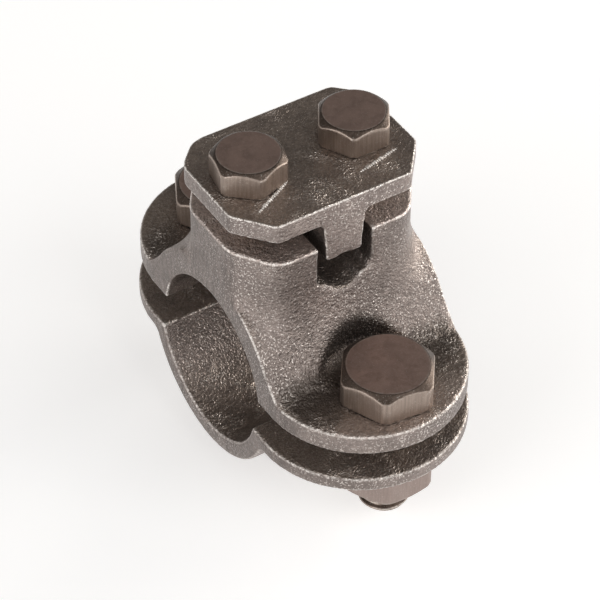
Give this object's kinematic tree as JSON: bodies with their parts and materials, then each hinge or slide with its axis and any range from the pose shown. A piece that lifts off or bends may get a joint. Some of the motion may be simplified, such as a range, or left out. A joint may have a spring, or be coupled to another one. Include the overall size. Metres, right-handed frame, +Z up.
{
  "type": "earthing pipe clamp",
  "caption": "Two-part cast clamp for an earthing pipe: saddle and strap bolted round the pipe, cap plate bolted over a crossing round conductor.",
  "frame": {"origin": "on the axis of the clamped pipe, midway between the two clamp bolts", "axes": "+X along the pipe, +Z up towards the cap plate, the conductor lies along Y and leaves towards -Y"},
  "size_m": [0.042, 0.0826, 0.0693],
  "materials": {
    "cast_saddle": "shot-blasted stainless casting",
    "cast_strap": "shot-blasted stainless casting",
    "cast_cap": "shot-blasted stainless casting",
    "bolt_steel": "forged and turned stainless steel",
    "nut_steel": "turned stainless steel"
  },
  "bodies": {
    "saddle": {"saddle": "cast_saddle"},
    "strap": {"strap": "cast_strap", "clamp_nut_front": "nut_steel", "clamp_nut_rear": "nut_steel"},
    "cap": {"cap_plate": "cast_cap"},
    "cap_bolt_left": {"cap_bolt_left": "bolt_steel"},
    "cap_bolt_right": {"cap_bolt_right": "bolt_steel"},
    "clamp_bolt_front": {"clamp_bolt_front": "bolt_steel"},
    "clamp_bolt_rear": {"clamp_bolt_rear": "bolt_steel"}
  },
  "joints": [
    {"name": "cap_lift", "type": "slide", "parent": "saddle", "child": "cap", "axis": [0, 0, 1], "range_m": [0, 0.006]},
    {"name": "cap_bolt_left_turn", "type": "hinge", "parent": "cap", "child": "cap_bolt_left", "pos_m": [-0.01125, 0, 0], "axis": [0, 0, 1], "range_deg": [0, 1748]},
    {"name": "cap_bolt_right_turn", "type": "hinge", "parent": "cap", "child": "cap_bolt_right", "pos_m": [0.01125, 0, 0], "axis": [0, 0, 1], "range_deg": [0, 1748]},
    {"name": "strap_drop", "type": "slide", "parent": "saddle", "child": "strap", "axis": [0, 0, -1], "range_m": [0, 0.007]},
    {"name": "clamp_bolt_front_turn", "type": "hinge", "parent": "saddle", "child": "clamp_bolt_front", "pos_m": [0, -0.02995, 0], "axis": [0, 0, 1], "range_deg": [0, 1700]},
    {"name": "clamp_bolt_rear_turn", "type": "hinge", "parent": "saddle", "child": "clamp_bolt_rear", "pos_m": [0, 0.02995, 0], "axis": [0, 0, 1], "range_deg": [0, 1700]}
  ],
  "couplings": [
    {"joint": "cap_bolt_left_turn", "follows": "cap_lift", "rad_per_m": 5026.5},
    {"joint": "cap_bolt_right_turn", "follows": "cap_lift", "rad_per_m": 5026.5},
    {"joint": "clamp_bolt_front_turn", "follows": "strap_drop", "rad_per_m": 4188.8},
    {"joint": "clamp_bolt_rear_turn", "follows": "strap_drop", "rad_per_m": 4188.8}
  ]
}
